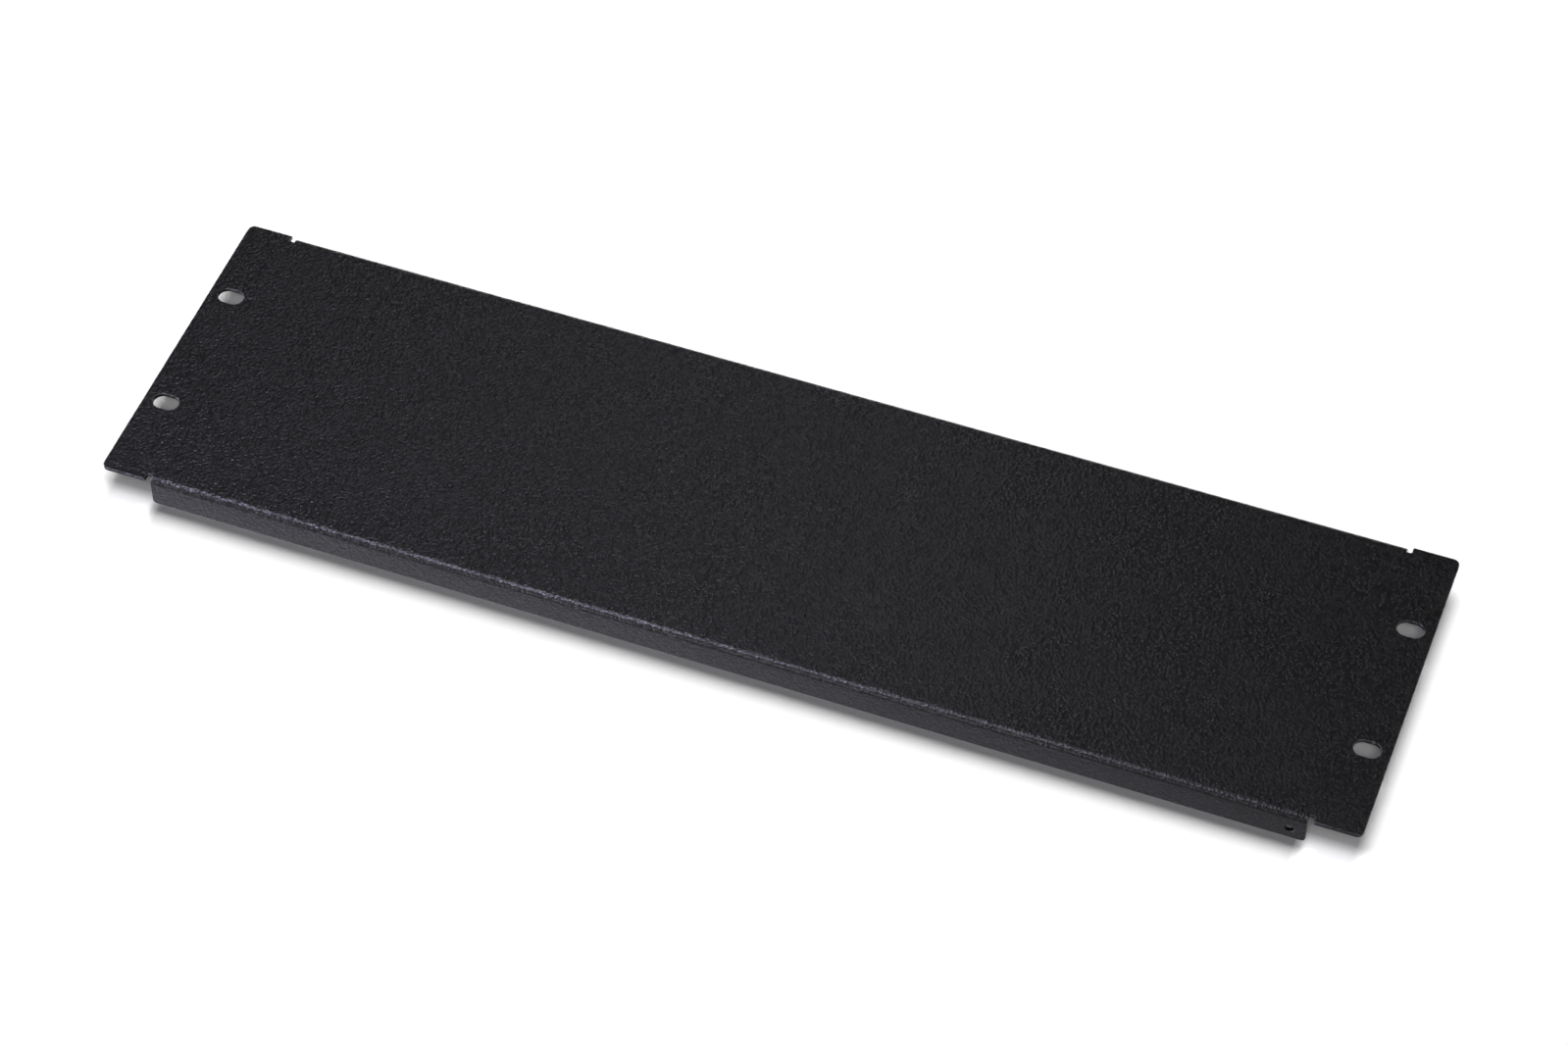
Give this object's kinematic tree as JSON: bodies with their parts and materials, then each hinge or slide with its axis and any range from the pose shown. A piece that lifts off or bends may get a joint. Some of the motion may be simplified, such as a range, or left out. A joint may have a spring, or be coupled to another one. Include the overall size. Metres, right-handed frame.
{
  "type": "rack blanking panel",
  "caption": "Rack blanking panel folded from sheet steel, with slotted mounting ears and a shallow flange along each long edge.",
  "frame": {"origin": "centre of the rectangle that the panel covers, on the plane that the free edges of its flanges rest on", "axes": "the panel lies face up: +X along its length towards the end with the hanging hole, +Y across it, from the flange with the hanging hole to the plain flange, +Z out of its face"},
  "size_m": [0.4826, 0.1312, 0.0127],
  "materials": {
    "black_powder_coat": "fine-textured black powder coat, half matt"
  },
  "bodies": {
    "root": {"panel": "black_powder_coat"}
  },
  "joints": []
}
